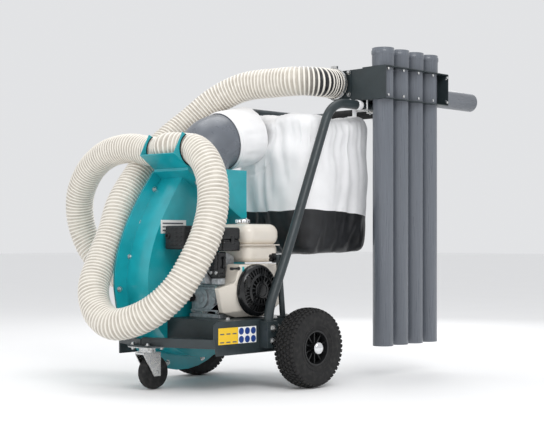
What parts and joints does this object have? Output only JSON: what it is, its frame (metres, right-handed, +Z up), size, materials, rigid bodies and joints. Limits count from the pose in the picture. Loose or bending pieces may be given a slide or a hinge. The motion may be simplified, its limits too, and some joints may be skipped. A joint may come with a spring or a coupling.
{
  "type": "leaf vacuum mulcher",
  "caption": "Walk-behind leaf vacuum: engine-driven shredding fan, hose over a cradle, filter bag, push handle with a rack of extension pipes, two wheels and a caster.",
  "frame": {"origin": "middle of the underside of the whole machine without its loose hose", "axes": "+Z up; the machine rolls forward along -Y, the operator stands at +Y; +X is the engine side"},
  "size_m": [1.1006, 1.7566, 1.1903],
  "materials": {
    "frame": "semi-gloss dark grey powder coat",
    "housing": "gloss teal enamel",
    "gasket": "matt",
    "trim": "matt",
    "tyre": "matt",
    "rim": "satin moulded",
    "hub_cap": "polished",
    "zinc": "bright zinc",
    "caster_tyre": "matt",
    "fan": "satin",
    "cast": "as cast",
    "shroud": "gloss ivory",
    "tank": "gloss ivory",
    "black": "satin",
    "chrome": "polished",
    "guard": "heatproof black",
    "grip": "matt foam",
    "elbow": "smooth grey pipe plastic",
    "pipe": "smooth grey pipe plastic",
    "bag": "woven filter cloth",
    "hose": "ribbed translucent wall",
    "controls": "satin"
  },
  "bodies": {
    "machine": {"chassis_frame": "frame", "axle_left": "zinc", "axle_right": "zinc", "caster_plate": "zinc", "fan_housing": "housing", "housing_gasket": "gasket", "housing_cover": "housing", "inlet_spigot": "housing", "outlet_hood": "housing", "outlet_elbow": "elbow", "hose_cradle": "housing", "cradle_trim_right": "trim", "cradle_trim_left": "trim", "engine_crankcase": "cast", "cylinder_head": "cast", "engine_shroud": "shroud", "recoil_cover": "black", "fuel_tank": "tank", "air_cleaner": "black", "intake_elbow": "black", "carburettor": "cast", "muffler_guard": "guard", "handle_tube": "frame", "handle_brace": "frame", "handle_bracket_left": "frame", "handle_bracket_right": "frame", "handle_grip": "grip", "filter_bag": "bag", "pipe_rack": "frame", "rack_clamp_1": "zinc", "rack_clamp_2": "zinc", "hose_flange": "frame", "suction_hose": "hose", "hose_clamp_rear": "zinc", "hose_clamp_front": "zinc"},
    "wheel_left": {"tyre_left": "tyre", "rim_left": "rim", "hub_cap_left": "hub_cap"},
    "wheel_right": {"tyre_right": "tyre", "rim_right": "rim", "hub_cap_right": "hub_cap"},
    "caster_swivel": {"caster_fork": "zinc", "caster_axle": "zinc"},
    "caster_roller": {"caster_wheel": "caster_tyre"},
    "rotor": {"crankshaft": "zinc", "impeller": "fan", "flywheel": "cast"},
    "starter_grip": {"recoil_grip": "black"},
    "fuel_cap": {"fuel_cap": "chrome"},
    "oil_cap": {"oil_cap": "black"},
    "choke": {"choke_lever": "controls"},
    "fuel_valve": {"fuel_lever": "controls"},
    "throttle": {"throttle_lever": "controls"},
    "ignition_switch": {"engine_switch": "controls"},
    "clamp_knob": {"handle_knob": "controls"},
    "extension_pipe_1": {"stored_pipe_1": "pipe"},
    "extension_pipe_2": {"stored_pipe_2": "pipe"},
    "extension_pipe_3": {"stored_pipe_3": "pipe"},
    "extension_pipe_4": {"stored_pipe_4": "pipe"},
    "nozzle_pipe": {"suction_pipe": "pipe"}
  },
  "joints": [
    {"name": "wheel_left_spin", "type": "hinge", "parent": "machine", "child": "wheel_left", "pos_m": [0.27865, -0.3585, 0.135], "axis": [1, 0, 0], "continuous": true},
    {"name": "wheel_right_spin", "type": "hinge", "parent": "machine", "child": "wheel_right", "pos_m": [-0.28135, -0.3585, 0.135], "axis": [1, 0, 0], "continuous": true},
    {"name": "caster_swivel_turn", "type": "hinge", "parent": "machine", "child": "caster_swivel", "pos_m": [-0.06735, -0.7765, 0.13], "axis": [0, 0, 1], "continuous": true},
    {"name": "caster_wheel_spin", "type": "hinge", "parent": "caster_swivel", "child": "caster_roller", "pos_m": [-0.06735, -0.7515, 0.057], "axis": [1, 0, 0], "continuous": true},
    {"name": "fan_and_crank_spin", "type": "hinge", "parent": "machine", "child": "rotor", "pos_m": [-0.00135, -0.4645, 0.33], "axis": [1, 0, 0], "continuous": true},
    {"name": "starter_pull", "type": "slide", "parent": "machine", "child": "starter_grip", "axis": [0.7021, -0.7121, 0], "range_m": [0, 0.35], "stiffness_N_per_m": 20},
    {"name": "fuel_cap_twist", "type": "hinge", "parent": "machine", "child": "fuel_cap", "pos_m": [0.00665, -0.4035, 0.565], "axis": [0, 0, 1], "range_deg": [0, 90]},
    {"name": "oil_cap_twist", "type": "hinge", "parent": "machine", "child": "oil_cap", "pos_m": [-0.06335, -0.5835, 0.3], "axis": [0, 1, 0], "range_deg": [0, 180]},
    {"name": "choke_swing", "type": "hinge", "parent": "machine", "child": "choke", "pos_m": [0.10265, -0.5845, 0.41], "axis": [1, 0, 0], "range_deg": [0, 40]},
    {"name": "fuel_valve_swing", "type": "hinge", "parent": "machine", "child": "fuel_valve", "pos_m": [0.10265, -0.5845, 0.382], "axis": [1, 0, 0], "range_deg": [0, 60]},
    {"name": "throttle_swing", "type": "hinge", "parent": "machine", "child": "throttle", "pos_m": [0.13465, -0.5445, 0.402], "axis": [1, 0, 0], "range_deg": [-20, 25]},
    {"name": "ignition_switch_turn", "type": "hinge", "parent": "machine", "child": "ignition_switch", "pos_m": [0.13165, -0.3505, 0.384], "axis": [1, 0, 0], "range_deg": [0, 60]},
    {"name": "clamp_knob_turn", "type": "hinge", "parent": "machine", "child": "clamp_knob", "pos_m": [0.15665, -0.4025, 0.436], "axis": [1, 0, 0], "range_deg": [0, 270]},
    {"name": "extension_pipe_1_lift", "type": "slide", "parent": "machine", "child": "extension_pipe_1", "axis": [0, 0, 1], "range_m": [0, 0.9]},
    {"name": "extension_pipe_2_lift", "type": "slide", "parent": "machine", "child": "extension_pipe_2", "axis": [0, 0, 1], "range_m": [0, 0.9]},
    {"name": "extension_pipe_3_lift", "type": "slide", "parent": "machine", "child": "extension_pipe_3", "axis": [0, 0, 1], "range_m": [0, 0.9]},
    {"name": "extension_pipe_4_lift", "type": "slide", "parent": "machine", "child": "extension_pipe_4", "axis": [0, 0, 1], "range_m": [0, 0.9]},
    {"name": "nozzle_pipe_pull", "type": "slide", "parent": "machine", "child": "nozzle_pipe", "axis": [0, 1, 0], "range_m": [0, 0.2]}
  ]
}
